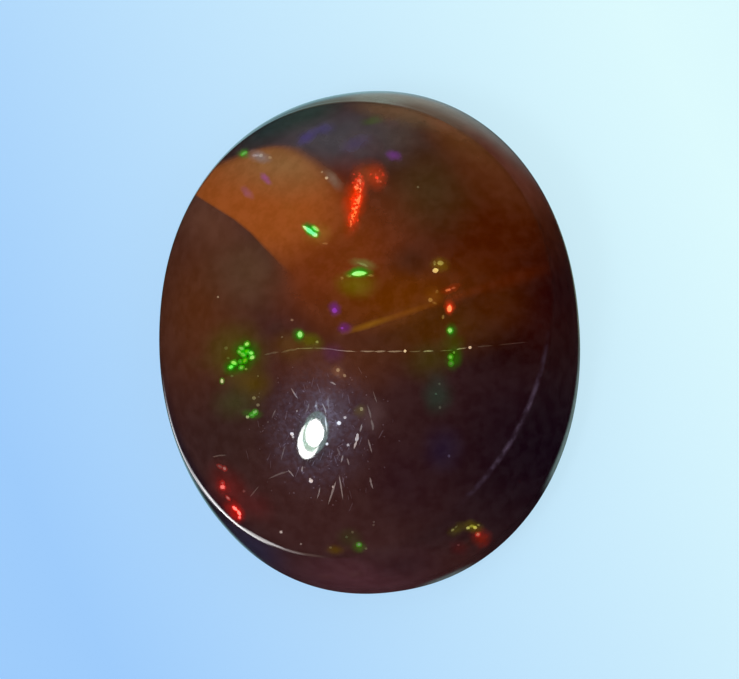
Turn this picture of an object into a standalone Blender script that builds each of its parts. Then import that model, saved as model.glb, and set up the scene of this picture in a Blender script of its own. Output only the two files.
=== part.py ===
"""Black opal cabochon: one hand-cut oval stone, domed on top and flat underneath.

The stone is one solid. Going down from the top it has a dome, a crisp shoulder ridge,
a steep side band, the girdle (its widest line), a short back bevel and a flat base.
The girdle is a plain oval. The shoulder was cut by eye: it is a rounder oval, turned
a little and not quite true, so the side band is wider at some places than at others.

Frame: metres, origin at the centre of the flat base, +Z up through the dome,
+Y along the length of the stone.
"""

import math

import bpy

MM = 0.001

# Girdle: the widest line of the stone
LENGTH = 12.0 * MM
WIDTH = 10.0 * MM
GIRDLE_FULLNESS = 2.13  # exponent of the oval: 2 is an ellipse, more is squarer
GIRDLE_HEIGHT = 0.56 * MM

# Shoulder ridge: the edge between the side band and the dome
SHOULDER_LENGTH = 10.76 * MM
SHOULDER_WIDTH = 9.40 * MM
SHOULDER_FULLNESS = 2.06
SHOULDER_TURN = math.radians(-12.0)  # its long axis leans towards +X
SHOULDER_LOBE = 0.018  # three-sided departure from a true oval, as a share of its radius
SHOULDER_LOBE_AT = math.radians(4.5)
SHOULDER_SHIFT = (-0.08 * MM, 0.10 * MM)
BAND_RISE = 1.64 * MM

# Dome: the top of an ellipsoid whose equator lies below the shoulder
DOME_SLOPE = math.radians(48.0)  # how steeply the dome meets the shoulder
DOME_REACH = 1.15  # the ellipsoid's radius over the shoulder's
DOME_RINGS = 15

# Back
BACK_INSET = 0.62 * MM  # how far the flat base lies inside the girdle

# Rounding: how far from its corner each edge starts to turn
SHOULDER_EASE = 0.16 * MM
GIRDLE_EASE = 0.14 * MM
BASE_EASE = 0.10 * MM
EASE_STEPS = 3

TURN_STEPS = 88
MERGE = 0.000001

GIRDLE_RADIUS = (LENGTH + WIDTH) / 4  # mean radii, in which the profile is drawn
SHOULDER_RADIUS = (SHOULDER_LENGTH + SHOULDER_WIDTH) / 4
SHOULDER_HEIGHT = GIRDLE_HEIGHT + BAND_RISE

BODY_COLOUR = (0.055, 0.017, 0.011, 1.0)  # dark red-brown
BODY_ROUGHNESS = 0.06


def oval_radius(angle, length, width, fullness):
    """Radius of a superellipse at an angle from +X."""
    across = abs(math.cos(angle) / (width / 2)) ** fullness
    along = abs(math.sin(angle) / (length / 2)) ** fullness
    return (across + along) ** (-1 / fullness)


def girdle_radius(angle):
    return oval_radius(angle, LENGTH, WIDTH, GIRDLE_FULLNESS)


def shoulder_radius(angle):
    """Radius of the shoulder ridge, with the lobes that hand cutting left in it."""
    true = oval_radius(angle - SHOULDER_TURN, SHOULDER_LENGTH, SHOULDER_WIDTH, SHOULDER_FULLNESS)
    return true * (1 + SHOULDER_LOBE * math.cos(3 * (angle - SHOULDER_LOBE_AT)))


def mixed(a, b, share):
    return a + (b - a) * share


def dome_line():
    """Points (radius, height) of the dome from its top down to the shoulder."""
    reach = SHOULDER_RADIUS * DOME_REACH
    level = math.sqrt(1 - 1 / DOME_REACH**2)  # the shoulder's height as a share of the crown
    crown = math.tan(DOME_SLOPE) * level * reach * DOME_REACH
    full_turn = math.asin(1 / DOME_REACH)
    points = []
    for ring in range(DOME_RINGS + 1):
        turn = full_turn * ring / DOME_RINGS
        rise = crown * (math.cos(turn) - level)
        points.append((reach * math.sin(turn), SHOULDER_HEIGHT + rise))
    return points


def eased(before, corner, after, ease):
    """The corner rounded off, leaving its two sides at the distance ease from it."""
    start = towards(corner, before, ease)
    end = towards(corner, after, ease)
    points = []
    for step in range(EASE_STEPS + 1):
        share = step / EASE_STEPS
        first = [mixed(a, b, share) for a, b in zip(start, corner)]
        second = [mixed(a, b, share) for a, b in zip(corner, end)]
        points.append(tuple(mixed(a, b, share) for a, b in zip(first, second)))
    return points


def towards(origin, target, distance):
    """The point at that distance from origin on the way to target."""
    share = distance / math.dist(origin, target)
    return tuple(mixed(a, b, share) for a, b in zip(origin, target))


def profile():
    """The stone's outline from the top of the dome down its side to the centre of the base."""
    dome = dome_line()
    shoulder = dome.pop()
    girdle = (GIRDLE_RADIUS, GIRDLE_HEIGHT)
    base_edge = (GIRDLE_RADIUS - BACK_INSET, 0.0)
    centre = (0.0, 0.0)
    points = [
        *dome,
        *eased(dome[-1], shoulder, girdle, SHOULDER_EASE),
        *eased(shoulder, girdle, base_edge, GIRDLE_EASE),
        *eased(girdle, base_edge, centre, BASE_EASE),
        centre,
    ]
    # Rounding takes a little off the girdle, so the profile is widened to its full radius again
    widening = GIRDLE_RADIUS / max(radius for radius, height in points)
    return [(radius * widening, height) for radius, height in points]


def turned(points):
    """The round solid that the profile sweeps about +Z."""
    mesh = bpy.data.meshes.new("profile")
    edges = [(i, i + 1) for i in range(len(points) - 1)]
    mesh.from_pydata([(r, 0.0, z) for r, z in points], edges, [])
    holder = bpy.data.objects.new("profile", mesh)
    bpy.context.scene.collection.objects.link(holder)
    screw = holder.modifiers.new("turn", "SCREW")
    screw.axis = "Z"
    screw.steps = screw.render_steps = TURN_STEPS
    screw.use_merge_vertices = True
    screw.merge_threshold = MERGE
    graph = bpy.context.evaluated_depsgraph_get()
    solid = bpy.data.meshes.new_from_object(holder.evaluated_get(graph))
    bpy.data.objects.remove(holder)
    return solid


def laid_on_ovals(point):
    """Moves a point of the round solid out to the stone's own ovals at its height."""
    share = min(max((point.z - GIRDLE_HEIGHT) / BAND_RISE, 0.0), 1.0)
    angle = math.atan2(point.y, point.x)
    drawn = math.hypot(point.x, point.y) / mixed(GIRDLE_RADIUS, SHOULDER_RADIUS, share)
    radius = drawn * mixed(girdle_radius(angle), shoulder_radius(angle), share)
    x = share * SHOULDER_SHIFT[0] + radius * math.cos(angle)
    y = share * SHOULDER_SHIFT[1] + radius * math.sin(angle)
    return x, y, point.z


def opal_material():
    material = bpy.data.materials.new("dark_opal")
    material.use_nodes = True
    shader = material.node_tree.nodes["Principled BSDF"]
    shader.inputs["Base Color"].default_value = BODY_COLOUR
    shader.inputs["Roughness"].default_value = BODY_ROUGHNESS
    shader.inputs["Metallic"].default_value = 0.0
    return material


def make_stone(collection):
    mesh = turned(profile())
    mesh.name = "opal_stone"
    for vertex in mesh.vertices:
        vertex.co = laid_on_ovals(vertex.co)
    mesh.shade_smooth()
    mesh.set_sharp_from_angle(angle=math.radians(40.0))
    mesh.materials.append(opal_material())
    stone = bpy.data.objects.new("opal_stone", mesh)
    collection.objects.link(stone)
    return stone


def main():
    for old in list(bpy.data.objects):
        bpy.data.objects.remove(old)
    collection = bpy.data.collections.new("black_opal_cabochon")
    bpy.context.scene.collection.children.link(collection)
    make_stone(collection)


main()
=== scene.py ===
"""Looks of the black opal cabochon: its fine polished surface, its body colours, flecks and scratches."""

import math
import random

import bpy
from mathutils import Matrix, Vector
from mathutils.bvhtree import BVHTree


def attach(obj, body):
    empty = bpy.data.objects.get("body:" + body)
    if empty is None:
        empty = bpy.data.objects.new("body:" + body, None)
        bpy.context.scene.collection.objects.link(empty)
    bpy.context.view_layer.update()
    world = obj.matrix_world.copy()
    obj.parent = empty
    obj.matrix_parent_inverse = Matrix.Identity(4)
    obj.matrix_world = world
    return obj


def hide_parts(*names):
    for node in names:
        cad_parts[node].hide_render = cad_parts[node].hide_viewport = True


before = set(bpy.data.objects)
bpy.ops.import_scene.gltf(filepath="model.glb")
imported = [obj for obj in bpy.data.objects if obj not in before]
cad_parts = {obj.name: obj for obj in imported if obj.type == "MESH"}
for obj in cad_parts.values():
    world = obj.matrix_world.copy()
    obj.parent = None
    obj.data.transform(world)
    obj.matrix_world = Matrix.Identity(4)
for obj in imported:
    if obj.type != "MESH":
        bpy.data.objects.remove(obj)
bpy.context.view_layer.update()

MM = 0.001

# The stone's own sizes, as in the solid
LENGTH = 12.0 * MM
WIDTH = 10.0 * MM
GIRDLE_FULLNESS = 2.13
GIRDLE_HEIGHT = 0.56 * MM
SHOULDER_LENGTH = 10.76 * MM
SHOULDER_WIDTH = 9.40 * MM
SHOULDER_FULLNESS = 2.06
SHOULDER_TURN = math.radians(-12.0)
SHOULDER_LOBE = 0.018
SHOULDER_LOBE_AT = math.radians(4.5)
SHOULDER_SHIFT = (-0.08 * MM, 0.10 * MM)
BAND_RISE = 1.64 * MM
DOME_SLOPE = math.radians(48.0)
DOME_REACH = 1.15
BACK_INSET = 0.62 * MM
SHOULDER_EASE = 0.15 * MM  # a hair crisper than the solid's
GIRDLE_EASE = 0.14 * MM
BASE_EASE = 0.10 * MM
BAND_BULGE = 0.04 * MM  # the side band is a little rounded
GIRDLE_RADIUS = (LENGTH + WIDTH) / 4
SHOULDER_RADIUS = (SHOULDER_LENGTH + SHOULDER_WIDTH) / 4
SHOULDER_HEIGHT = GIRDLE_HEIGHT + BAND_RISE

# How finely the polished surface is meshed
TURN_STEPS = 320
DOME_RINGS = 90
EASE_STEPS = 8
BAND_STEPS = 16
BASE_STEPS = 14

# The photograph's frame, and how the stone lies in it
PICTURE = (739, 679)
PIXELS_PER_MM = 42.57
PIXELS_PER_METRE = PIXELS_PER_MM / MM
STONE_IN_PICTURE = (372.0, 342.0)  # pixel of the middle of the girdle
CAMERA_AZIMUTH = math.radians(47.36)
CAMERA_ELEVATION = math.radians(72.97)
CAMERA_ROLL = math.radians(-53.99)
CAMERA_DISTANCE = 0.30
CAMERA_CLIP = (0.01, 5.0)
SENSOR_MM = 36.0

OPAL_IOR = 1.45


def oval_radius(angle, length, width, fullness):
    """Radius of a superellipse at an angle from +X."""
    across = abs(math.cos(angle) / (width / 2)) ** fullness
    along = abs(math.sin(angle) / (length / 2)) ** fullness
    return (across + along) ** (-1 / fullness)


def girdle_radius(angle):
    return oval_radius(angle, LENGTH, WIDTH, GIRDLE_FULLNESS)


def shoulder_radius(angle):
    true = oval_radius(angle - SHOULDER_TURN, SHOULDER_LENGTH, SHOULDER_WIDTH, SHOULDER_FULLNESS)
    return true * (1 + SHOULDER_LOBE * math.cos(3 * (angle - SHOULDER_LOBE_AT)))


def mixed(a, b, share):
    return a + (b - a) * share


def towards(origin, target, distance):
    """The point at that distance from origin on the way to target."""
    share = distance / math.dist(origin, target)
    return tuple(mixed(a, b, share) for a, b in zip(origin, target))


def dome_line():
    """Points (radius, height) of the dome from its top down to the shoulder."""
    reach = SHOULDER_RADIUS * DOME_REACH
    level = math.sqrt(1 - 1 / DOME_REACH**2)
    crown = math.tan(DOME_SLOPE) * level * reach * DOME_REACH
    full_turn = math.asin(1 / DOME_REACH)
    points = []
    for ring in range(DOME_RINGS + 1):
        turn = full_turn * ring / DOME_RINGS
        points.append((reach * math.sin(turn), SHOULDER_HEIGHT + crown * (math.cos(turn) - level)))
    return points


def eased(before, corner, after, ease):
    """The corner rounded off, leaving its two sides at the distance ease from it."""
    start = towards(corner, before, ease)
    end = towards(corner, after, ease)
    points = []
    for step in range(EASE_STEPS + 1):
        share = step / EASE_STEPS
        first = [mixed(a, b, share) for a, b in zip(start, corner)]
        second = [mixed(a, b, share) for a, b in zip(corner, end)]
        points.append(tuple(mixed(a, b, share) for a, b in zip(first, second)))
    return points


def between(start, end, steps):
    """Evenly spaced points strictly between two others."""
    return [tuple(mixed(a, b, i / steps) for a, b in zip(start, end)) for i in range(1, steps)]


def arched(start, end, steps, rise):
    """Points strictly between two others, on a shallow arch that stands out from the stone."""
    run, fall = end[0] - start[0], start[1] - end[1]
    length = math.hypot(run, fall)
    points = []
    for radius, height in between(start, end, steps):
        share = (start[1] - height) / fall
        arch = 4 * rise * share * (1 - share)
        points.append((radius + arch * fall / length, height + arch * run / length))
    return points


def profile_parts():
    """The stone's outline from the top of the dome down its side to the centre of the base, in parts."""
    dome = dome_line()
    shoulder = dome.pop()
    girdle = (GIRDLE_RADIUS, GIRDLE_HEIGHT)
    base_edge = (GIRDLE_RADIUS - BACK_INSET, 0.0)
    centre = (0.0, 0.0)
    while math.dist(dome[-1], shoulder) < SHOULDER_EASE:
        dome.pop()
    ridge = eased(dome[-1], shoulder, girdle, SHOULDER_EASE)
    edge = eased(shoulder, girdle, base_edge, GIRDLE_EASE)
    foot = eased(girdle, base_edge, centre, BASE_EASE)
    band = arched(ridge[-1], edge[0], BAND_STEPS, BAND_BULGE)
    back = [*between(foot[-1], centre, BASE_STEPS), centre]
    parts = [dome, ridge, band, edge, foot, back]
    widening = GIRDLE_RADIUS / max(radius for part in parts for radius, height in part)
    return [[(radius * widening, height) for radius, height in part] for part in parts]


def on_ovals(drawn_radius, height, angle):
    """A point of the stone's surface from its place on the round profile."""
    share = min(max((height - GIRDLE_HEIGHT) / BAND_RISE, 0.0), 1.0)
    drawn = drawn_radius / mixed(GIRDLE_RADIUS, SHOULDER_RADIUS, share)
    radius = drawn * mixed(girdle_radius(angle), shoulder_radius(angle), share)
    x = share * SHOULDER_SHIFT[0] + radius * math.cos(angle)
    y = share * SHOULDER_SHIFT[1] + radius * math.sin(angle)
    return x, y, height


def angles(steps):
    """Evenly spaced angles of a full turn."""
    return [2 * math.pi * turn / steps for turn in range(steps)]


def ring_faces(rings, steps, first=0, closed=True):
    """Faces of a body that starts at a point, goes on in rings and, where closed, ends at a point."""
    faces = []
    last = first + 1 + rings * steps
    foot = last - steps
    for turn in range(steps):
        after = (turn + 1) % steps
        faces.append((first, first + 1 + turn, first + 1 + after))
        if closed:
            faces.append((last, foot + after, foot + turn))
        for upper in range(first + 1, foot, steps):
            lower = upper + steps
            faces.append((upper + turn, lower + turn, lower + after, upper + after))
    return faces


PROFILE = profile_parts()
ANGLES = angles(TURN_STEPS)


def stone_surface():
    """Points and faces of the whole stone: rings between a top point and a bottom point."""
    rings = [point for part in PROFILE for point in part]
    points = [on_ovals(*rings[0], 0.0)]
    for radius, height in rings[1:-1]:
        points += [on_ovals(radius, height, angle) for angle in ANGLES]
    points.append((0.0, 0.0, 0.0))
    return points, ring_faces(len(rings) - 2, TURN_STEPS)


def view_axes():
    """Unit vectors to the picture's right, to its top and back to the camera."""
    level = math.cos(CAMERA_ELEVATION)
    back = Vector((math.sin(CAMERA_AZIMUTH) * level, -math.cos(CAMERA_AZIMUTH) * level,
                   math.sin(CAMERA_ELEVATION)))
    level_right = Vector((math.cos(CAMERA_AZIMUTH), math.sin(CAMERA_AZIMUTH), 0.0))
    level_up = back.cross(level_right)
    turn, lean = math.cos(CAMERA_ROLL), math.sin(CAMERA_ROLL)
    right = level_right * turn + level_up * lean
    up = level_up * turn - level_right * lean
    return right, up, back


RIGHT, UP, BACK = view_axes()
GIRDLE_MIDDLE = Vector((0.0, 0.0, GIRDLE_HEIGHT))


def on_picture_plane(pixel):
    """The point that shows at a pixel, on the plane through the girdle's middle that faces the camera."""
    across = (pixel[0] - STONE_IN_PICTURE[0]) / PIXELS_PER_METRE
    down = (pixel[1] - STONE_IN_PICTURE[1]) / PIXELS_PER_METRE
    return GIRDLE_MIDDLE + RIGHT * across - UP * down


LOOKED_AT = on_picture_plane((PICTURE[0] / 2, PICTURE[1] / 2))
EYE = LOOKED_AT + BACK * CAMERA_DISTANCE
POINTS, FACES = stone_surface()
SURFACE = BVHTree.FromPolygons(POINTS, FACES)


def seen_on_stone(pixel):
    """Where the line of sight through a pixel meets the stone, and the surface's normal there."""
    sight = (on_picture_plane(pixel) - EYE).normalized()
    place, normal, index, distance = SURFACE.ray_cast(EYE, sight)
    return place, normal


def ring_seen_near(ring, pixel):
    """The place on a ring of the profile that shows nearest to a pixel, and the surface's normal there."""
    aim = on_picture_plane(pixel)
    places = [Vector(on_ovals(*ring, angle)) for angle in ANGLES]
    place = min(places, key=lambda point: (point - aim).cross(BACK).length)
    return SURFACE.find_nearest(place)[:2]


def mirrored(place, normal):
    """The direction in which the camera sees the surroundings mirrored at a place on the stone."""
    sight = (place - EYE).normalized()
    return (sight - 2 * sight.dot(normal) * normal).normalized()


def inside_stone(pixel, depth):
    """A point that far below the surface, on the line of sight as the stone bends it."""
    place, normal = seen_on_stone(pixel)
    sight = (place - EYE).normalized()
    facing = -sight.dot(normal)
    ratio = 1 / OPAL_IOR
    bent = sight * ratio + normal * (ratio * facing - math.sqrt(1 - ratio**2 * (1 - facing**2)))
    return place + bent.normalized() * depth


def make_object(name, points, faces):
    mesh = bpy.data.meshes.new(name)
    mesh.from_pydata(points, [], faces)
    mesh.shade_smooth()
    made = bpy.data.objects.new(name, mesh)
    bpy.context.scene.collection.objects.link(made)
    return made


def put_in_scene(name, data, place, axes):
    """A camera or lamp at a place, whose own axes lie along the three that are given."""
    made = bpy.data.objects.new(name, data)
    made.location = place
    made.rotation_mode = "QUATERNION"
    made.rotation_quaternion = Matrix(axes).transposed().to_quaternion()
    bpy.context.scene.collection.objects.link(made)
    return made


def make_camera():
    data = bpy.data.cameras.new("camera")
    data.sensor_width = SENSOR_MM
    data.lens = SENSOR_MM * CAMERA_DISTANCE / (PICTURE[0] / PIXELS_PER_METRE)
    data.clip_start, data.clip_end = CAMERA_CLIP
    bpy.context.scene.camera = put_in_scene("camera", data, EYE, (RIGHT, UP, BACK))


# How much of the light goes into the stone, and how much of it the milky body sends back as paint
TRANSMISSION = 0.45
BODY_GAIN = 1.0 / (1.0 - TRANSMISSION)
STRONGEST = 0.95  # no part of a colour is brighter than this

# Zones of body colour, each an ellipse in the picture: x and y of its middle, half sizes (pixels), colour
# (0-255), and where they aren't 1, 0 and 1: strength, turn (degrees), share of it that fades
BODY_COLOUR = (60, 33, 30)
BODY_ZONES = (
    (200, 305, 95, 150, (84, 43, 21)),
    (235, 430, 80, 80, (54, 33, 28), 0.8),
    (250, 272, 64, 60, (84, 56, 38)),
    (292, 296, 38, 44, (96, 45, 21), 0.6),
    (210, 220, 56, 46, (98, 60, 42), 0.75, -35),
    (340, 362, 105, 50, (80, 42, 26), 1, 0, 0.9),
    (550, 450, 250, 210, (25, 10, 19)),
    (518, 345, 92, 44, (33, 10, 10), 1, 5),
    (402, 474, 52, 58, (40, 17, 24), 0.5),
    (510, 225, 150, 140, (72, 25, 3), 1, 0, 0.7),
    (435, 326, 105, 52, (74, 38, 8), 1, 10, 0.9),
    (505, 300, 60, 36, (70, 28, 2), 1, 10),
    (560, 298, 74, 102, (40, 9, 9)),
    (425, 190, 75, 75, (68, 46, 22), 0.9),
    (490, 165, 85, 50, (92, 46, 22), 1, -45),
    (390, 135, 48, 24, (82, 62, 44), 0.8, -10),
    (455, 132, 80, 32, (96, 55, 27), 1, -32),
    (400, 113, 70, 22, (94, 72, 48), 1, -9),
    (335, 138, 110, 46, (70, 65, 68), 1, 0, 0.9),
    (272, 128, 75, 20, (38, 50, 48), 1, 32),
    (308, 114, 60, 20, (44, 58, 52), 1, 22),
    (397, 112, 55, 13, (104, 74, 52), 1, -7),
    (445, 123, 50, 14, (114, 72, 48), 1, -27),
)
CENTRE_ZONE = (396, 298, 122, 50, (98, 46, 5), 1, 15)
# The orange upper zone: the body's orange, painted brighter where light from behind shines through it
BRIGHT_WIDE = (335, 250, 116, 105, (110, 49, 17), 1, 0, 0.8)
BRIGHT_NEAR = (256, 198, 118, 84, (149, 75, 28), 1, 0, 0.6)
BRIGHT_PALE = (292, 160, 110, 52, (136, 100, 60), 0.8)
SHOULDER_PAINTED_SHADE = (195, 470, 100, 150, (26, 18, 26), 1, 25)  # painted shade: the dome darker just above the shoulder at the lower left, where it mirrors dark surroundings
BAND_PAINTED_SHEEN = (440, 118, 130, 62, (142, 134, 126), 0.8, -28, 0.8)  # painted sheen: the pale crescent that the side band mirrors at the top
RIDGE_PAINTED_HIGHLIGHT = (512, 425, 50, 115, (76, 58, 72), 1, -30, 0.8)  # painted highlight: light mirrored by the shoulder ridge, at the lower right
BAND_ZONES = (
    (430, 110, 110, 45, (98, 74, 60), 1, -22, 0.8),
    (507, 160, 88, 42, (104, 50, 35), 1, -50, 0.8),
    # painted reflection: the pale crescent at the top and its teal left end
    (374, 96, 54, 18, (124, 134, 124), 0.9, -8),
    (305, 108, 75, 22, (48, 66, 54), 1, 25, 0.9),
    # painted reflection: the band mirrors dark surroundings at the lower left
    (250, 548, 70, 34, (50, 40, 56), 1, -40, 0.9),
    (365, 576, 150, 44, (82, 42, 44)),
    (455, 560, 60, 30, (60, 28, 24), 0.8, 30),
    (404, 563, 56, 26, (52, 26, 27), 0.85),
)
EDGE_PAINTED_LIGHT_AND_SHADE = (  # painted light and shade just above the girdle, at the right: painted shade on the edge at the upper right, pale painted light along the thin edge below it
    (516, 160, 84, 30, (52, 42, 30), 1, -52, 0.6),
    (570, 272, 26, 105, (146, 150, 130), 1, 8, 0.6),
    (572, 420, 30, 100, (124, 136, 130), 1, -12, 0.6),
    (450, 584, 60, 16, (104, 110, 104), 1, 22, 0.6),
)
SCUFFED_SHEEN_COLOUR = (90, 80, 95)  # painted sheen: the lamp's light scattered by the scuffed polish round its image
SCUFFED_SHEEN_WIDE = (318, 427, 68, 82, 0.54, -18)
SCUFFED_SHEEN_NEAR = (322, 414, 38, 30, 0.95)
# Painted shade: a dark ring right round the lamp's image
PAINTED_SHADE_BY_LAMP = (312, 441, 22, 32, (30, 32, 34), 0.4, 0, 0.5)

# Straight edges of zones: x and y of a pixel on each, the way to the zone (degrees), softness (pixels)
BRIGHT_EDGES = ((222, 211.5, 58, 3.5), (243, 226, 51, 4), (264, 246, 43, 5))
BRIGHT_SOFT_EDGE = (284, 272, 24, 26)
HAZE_EDGES = ((284, 147, -90, 10), (252, 153, -70, 10), (308, 155, -114, 20), (326, 173, -136, 26))
INNER_PLANE = (430, 306, 107, 12)  # a flaw inside, seen edge on: the centre zone ends at it

# Heights between which zones start, or end where the second is the lower one
BRIGHT_SPAN = (GIRDLE_HEIGHT + 0.3 * MM, SHOULDER_HEIGHT)
SHOULDER_PAINTED_SHADE_SPAN = (SHOULDER_HEIGHT + 0.34 * MM, SHOULDER_HEIGHT + 0.04 * MM)
BAND_SHEEN_SPAN = (SHOULDER_HEIGHT, GIRDLE_HEIGHT + 0.2 * MM)
EDGE_LIGHT_TOP = (GIRDLE_HEIGHT + 0.24 * MM, GIRDLE_HEIGHT + 0.10 * MM)
EDGE_LIGHT_FOOT = (GIRDLE_HEIGHT - 0.35 * MM, GIRDLE_HEIGHT)
RIDGE_HIGHLIGHT_RISE = (SHOULDER_HEIGHT - 0.05 * MM, SHOULDER_HEIGHT + 0.04 * MM)
RIDGE_HIGHLIGHT_FALL = (SHOULDER_HEIGHT + 0.13 * MM, SHOULDER_HEIGHT + 0.04 * MM)
BAND_TOP = (SHOULDER_HEIGHT - 0.01 * MM, SHOULDER_HEIGHT - 0.08 * MM)
BACK_TOP = (0.06 * MM, 0.01 * MM)
TURNED_AWAY = (0.20, -0.02)  # the sides start between these cosines of the normal with the way to the camera

# Clouds: size, detail, the span of the noise that counts, and what it gives at its ends
RIDGE_HIGHLIGHT_CLOUDS = (0.24 * MM, 3, 0.40, 0.62, 0.2, 1.0)
SCUFFED_SHEEN_CLOUDS = (0.10 * MM, 4, 0.38, 0.66, 0.15, 1.1)
SIDE_CLOUDS = (
    ((104, 50, 20), (3.4 * MM, 4, 0.45, 0.72)),
    ((56, 46, 22), (2.3 * MM, 4, 0.45, 0.72)),
    ((36, 18, 24), (1.5 * MM, 4, 0.45, 0.72)),
)
ZONE_DEPTH = 100000.0  # zones reach this far along the line of sight (pixels)
STIR_NOISE = (0.9 * MM, 5, 0.68)
NOISE_MEAN = (0.5, 0.5, 0.5)
STIR_REACH = (14.0, 14.0, 0.0)  # how far noise moves the zones' edges (pixels)
MOTTLE_NOISE = (0.32 * MM, 2, 0.7)
MOTTLE_SPAN = (0.32, 0.68)
MOTTLE_GAIN = (1.0, 1.16)  # the fine mottling multiplies the body colour by this
MOTTLE_SHIFT = (-0.0034, 0.0034)  # and adds this to it

DOME_ROUGHNESS = 0.04
BAND_ROUGHER = 0.08  # so much more than the dome
BACK_ROUGHER = 0.22
RIPPLE_NOISE = (0.5 * MM, 1)
RIPPLE_DEPTH = 0.0008 * MM
DEPTH_COLOUR = (0.70, 0.30, 0.10, 1.0)  # what the clear body lets through
DEPTH_DENSITY = 800.0

# Light that the flecks spread in the milky body round them
GLOWS = (
    (355, 202, 15, 42, (200, 52, 10), 1, -11),
    (355.5, 202, 9, 34, (235, 46, 6), 0.9, -11),
    (368, 175, 22, 20, (128, 56, 24), 0.85),
    (377, 178, 14, 19, (180, 58, 26), 0.7, 12),
    (318, 234, 18, 16, (146, 104, 34), 0.5),
    (311, 231, 13, 7, (34, 112, 30), 1, -35, 0.7),
    (359, 274, 17, 7, (40, 122, 20), 1, 4, 0.7),
    (364, 265, 18, 7, (112, 112, 52), 0.7, -12),
    (356, 285, 28, 18, (104, 86, 10), 0.9),
    (238, 354, 42, 44, (76, 68, 14), 0.9),
    (246, 351, 18, 18, (16, 92, 2), 1, -30),
    (233, 365, 13, 11, (16, 98, 3), 1, 10),
    (243, 363, 13, 11, (26, 88, 3), 0.8),
    (254, 384, 26, 22, (80, 60, 8), 0.8),
    (238, 402, 34, 26, (62, 58, 30), 0.8),
    (253, 414, 13, 8, (44, 92, 16), 0.8),
    (310, 341, 20, 12, (84, 84, 6), 0.9, -20),
    (292, 345, 30, 22, (86, 56, 16), 0.7),
    (300, 335, 9, 10, (44, 88, 14), 1, 0, 0.8),
    (335, 310, 9, 10, (108, 38, 112), 0.85),
    (345, 329, 9, 8, (102, 36, 98), 0.8),
    (334, 353, 16, 13, (82, 38, 70), 0.55),
    (410, 262, 34, 24, (64, 32, 17), 0.8),
    (439, 266, 13, 10, (112, 84, 12), 0.8),
    (433, 298, 14, 14, (122, 66, 12), 0.6),
    (450, 289, 15, 6, (140, 46, 14), 0.8, 20),
    (449, 308, 7, 10, (186, 50, 10), 0.9),
    (452, 343, 18, 15, (64, 62, 10), 0.8),
    (450, 331, 8, 10, (44, 88, 16), 1, 0, 0.9),
    (453, 358, 13, 16, (40, 92, 8), 1, -15, 0.9),
    (430, 360, 38, 28, (62, 52, 12), 0.7, 20),
    (436, 394, 20, 28, (42, 52, 42), 0.8),
    (442, 448, 28, 32, (36, 24, 44), 0.7),
    (236, 510, 10, 17, (220, 20, 8), 1, 30),
    (224, 487, 10, 12, (150, 22, 14), 0.8, 20),
    (230, 488, 24, 40, (100, 28, 24), 0.7, 30),
    (256, 506, 26, 20, (84, 30, 28), 0.6, -20),
    (376, 545, 46, 26, (66, 38, 36), 0.8),
    (359, 545, 11, 8, (60, 86, 18), 0.9),
    (334, 548, 12, 8, (90, 62, 10), 0.8),
    (350, 536, 18, 14, (60, 56, 28), 0.6),
    (456, 528, 12, 8, (78, 64, 14), 0.8, 30),
    (472, 526, 14, 8, (96, 78, 6), 0.9, -10),
    (480, 536, 14, 12, (126, 24, 10), 0.9),
    (459, 546, 13, 10, (80, 26, 26), 0.7),
    (243, 154, 8, 7, (70, 120, 40), 0.9, 30),
    (259, 157, 16, 8, (140, 122, 116), 0.8, -10),
    (265, 180, 11, 5, (152, 82, 118), 1, -40),
    (247, 194, 11, 5, (150, 82, 86), 0.9, -50),
    (333, 181, 17, 7, (120, 98, 80), 0.8, -48),
    (308, 139, 15, 9, (78, 66, 118), 0.75, 30),
    (323, 131, 17, 9, (72, 64, 104), 0.7, 15),
    (356, 145, 22, 10, (76, 66, 96), 0.6, 20),
    (393, 156, 11, 7, (110, 56, 124), 0.8, -20),
    (372, 121, 15, 6, (68, 84, 40), 0.7, 15),
    (362, 410, 9, 10, (92, 78, 40), 0.8),
    (339, 371, 12, 8, (116, 74, 50), 0.8, -25),
    (373, 414, 20, 26, (80, 57, 56), 0.7),
)

# The flaw inside, seen edge on as a soft line: start, end, half width (pixels), colour, strength
INNER_LINES = (
    ((340, 335), (452, 301), 16.0, (106, 56, 16), 0.5),
    ((334, 336.5), (404, 313.6), 4.8, (136, 88, 20), 0.8),
    ((372, 324), (447, 299.5), 4.6, (124, 68, 14), 0.65),
    ((410, 312), (505, 281), 7.0, (106, 42, 8), 0.45),
    ((456, 297), (564, 263), 12.0, (90, 31, 5), 0.5),
)

# How bright a fleck looks on screen
TRACE = 0.03
FAINT = 0.06
DIM = 0.15
FAIR = 0.35
CLEAR = 0.6
BRIGHT = 1.0

# Colours of the flecks where the body is its usual brown: brighter body colours round them tint them more
FLECK_COLOURS = {
    "ember": (0.52, 0.26, 0.24),
    "rose": (0.74, 0.42, 0.40),
    "green": (0.66, 0.50, 0.50),
    "leaf": (0.52, 0.56, 0.42),
    "moss": (0.08, 0.42, 0.03),
    "ruby": (0.60, 0.04, 0.03),
    "mint": (0.34, 0.30, 0.42),
    "yellow": (0.76, 0.60, 0.52),
    "amber": (0.74, 0.52, 0.40),
    "sand": (0.78, 0.60, 0.46),
    "violet": (0.48, 0.12, 0.62),
    "lavender": (0.86, 0.64, 0.76),
    "cream": (1.0, 0.84, 0.76),
    "white": (1.0, 0.80, 0.72),
}

# Brighter flecks have darker rims
FLECK_RIMS = {"green": "moss", "leaf": "moss", "mint": "moss", "rose": "ruby"}
RIM_WIDTH = 1.6
RIM_LEVEL = 0.16
RIM_DEPTH = 0.45 * MM

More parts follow.
